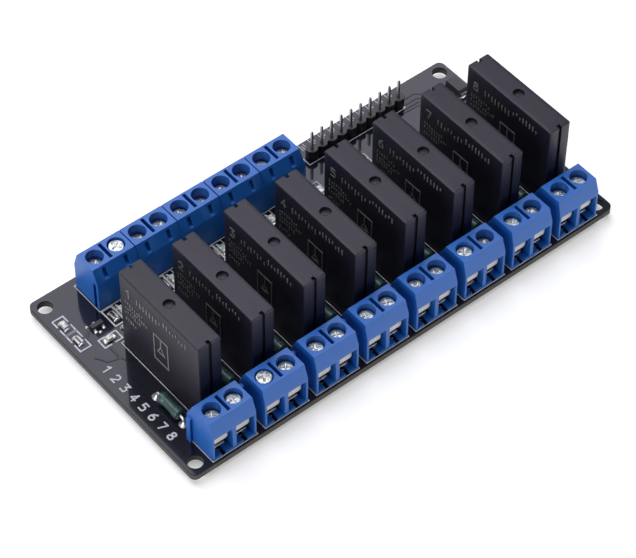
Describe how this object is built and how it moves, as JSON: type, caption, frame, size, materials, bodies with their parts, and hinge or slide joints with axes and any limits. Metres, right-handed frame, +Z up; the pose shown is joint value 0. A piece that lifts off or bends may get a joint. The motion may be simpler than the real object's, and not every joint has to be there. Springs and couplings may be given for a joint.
{
  "type": "relay module board",
  "caption": "Circuit board with a row of slim solid-state relays, screw terminals for the switched outputs and the inputs, and a pin header.",
  "frame": {"origin": "middle of the four mounting holes, on the underside of the circuit board", "axes": "+X along the board's long side, +Y from the output terminals to the input terminals, +Z up out of the component side"},
  "size_m": [0.1054, 0.0526, 0.0233],
  "materials": {
    "board": "glass-epoxy laminate under a satin black solder mask, white printed outlines",
    "relay_case": "satin black moulded case",
    "tinned_lead": "tin-plated wire and strip",
    "green_lacquer": "glossy green lacquer",
    "terminal_housing": "satin blue moulded nylon",
    "plated_clamp": "nickel-plated folded sheet",
    "terminal_screw": "zinc-plated screw",
    "plated_contact": "tin-plated contact",
    "header_plastic": "black moulded strip",
    "header_pin": "plated square pins",
    "led_body": "white body with a clear lens",
    "chip_body": "ceramic chip with a dark glaze and tinned ends",
    "epoxy_case": "black moulded epoxy"
  },
  "bodies": {
    "root": {"circuit_board": "board", "relay_1": "relay_case", "relay_2": "relay_case", "relay_3": "relay_case", "relay_4": "relay_case", "relay_5": "relay_case", "relay_6": "relay_case", "relay_7": "relay_case", "relay_8": "relay_case", "relay_leads": "tinned_lead", "fuse_resistor_1": "green_lacquer", "fuse_resistor_2": "green_lacquer", "fuse_resistor_3": "green_lacquer", "fuse_resistor_4": "green_lacquer", "fuse_resistor_5": "green_lacquer", "fuse_resistor_6": "green_lacquer", "fuse_resistor_7": "green_lacquer", "fuse_resistor_8": "green_lacquer", "fuse_resistor_leads": "tinned_lead", "output_terminal_1": "terminal_housing", "output_terminal_2": "terminal_housing", "output_terminal_3": "terminal_housing", "output_terminal_4": "terminal_housing", "output_terminal_5": "terminal_housing", "output_terminal_6": "terminal_housing", "output_terminal_7": "terminal_housing", "output_terminal_8": "terminal_housing", "output_wire_clamps": "plated_clamp", "output_terminal_screws": "terminal_screw", "output_contacts": "plated_contact", "input_terminal_1": "terminal_housing", "input_terminal_2": "terminal_housing", "input_terminal_3": "terminal_housing", "input_terminal_4": "terminal_housing", "input_terminal_5": "terminal_housing", "input_wire_clamps": "plated_clamp", "input_terminal_screws": "terminal_screw", "input_contacts": "plated_contact", "pin_header_base": "header_plastic", "pin_header_pins": "header_pin", "channel_leds": "led_body", "channel_resistors": "chip_body", "channel_transistors": "epoxy_case", "channel_transistor_leads": "tinned_lead", "power_led": "led_body", "power_resistor": "chip_body", "status_led": "led_body", "supply_transistor": "epoxy_case", "supply_transistor_leads": "tinned_lead", "protection_diode": "epoxy_case", "protection_diode_leads": "tinned_lead"}
  },
  "joints": []
}
